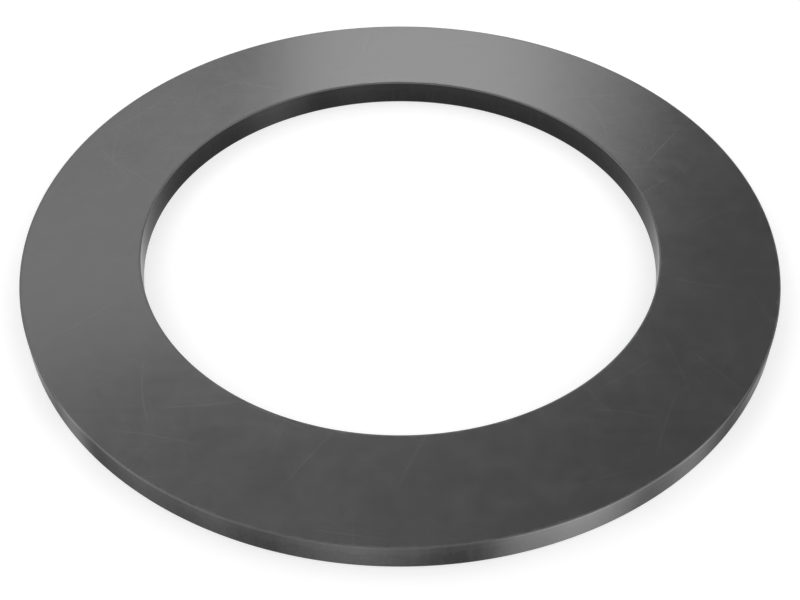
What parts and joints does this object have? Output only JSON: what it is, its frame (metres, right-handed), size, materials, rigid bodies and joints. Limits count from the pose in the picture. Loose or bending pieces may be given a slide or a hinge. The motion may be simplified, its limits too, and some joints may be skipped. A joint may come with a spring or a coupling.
{
  "type": "pump spring shim",
  "caption": "Thin flat steel ring that goes under a pump's compression spring, to take up length and set the spring's preload.",
  "frame": {"origin": "middle of the lower face, on the axis of the bore", "axes": "+Z along the spring, from the seat that the shim lies on towards the spring; the ring is round, so X and Y are free in its plane"},
  "size_m": [0.0254, 0.0254, 0.0009],
  "materials": {
    "steel": "dark satin, cold-rolled strip, blanked and tumbled"
  },
  "bodies": {
    "root": {"spring_shim": "steel"}
  },
  "joints": []
}
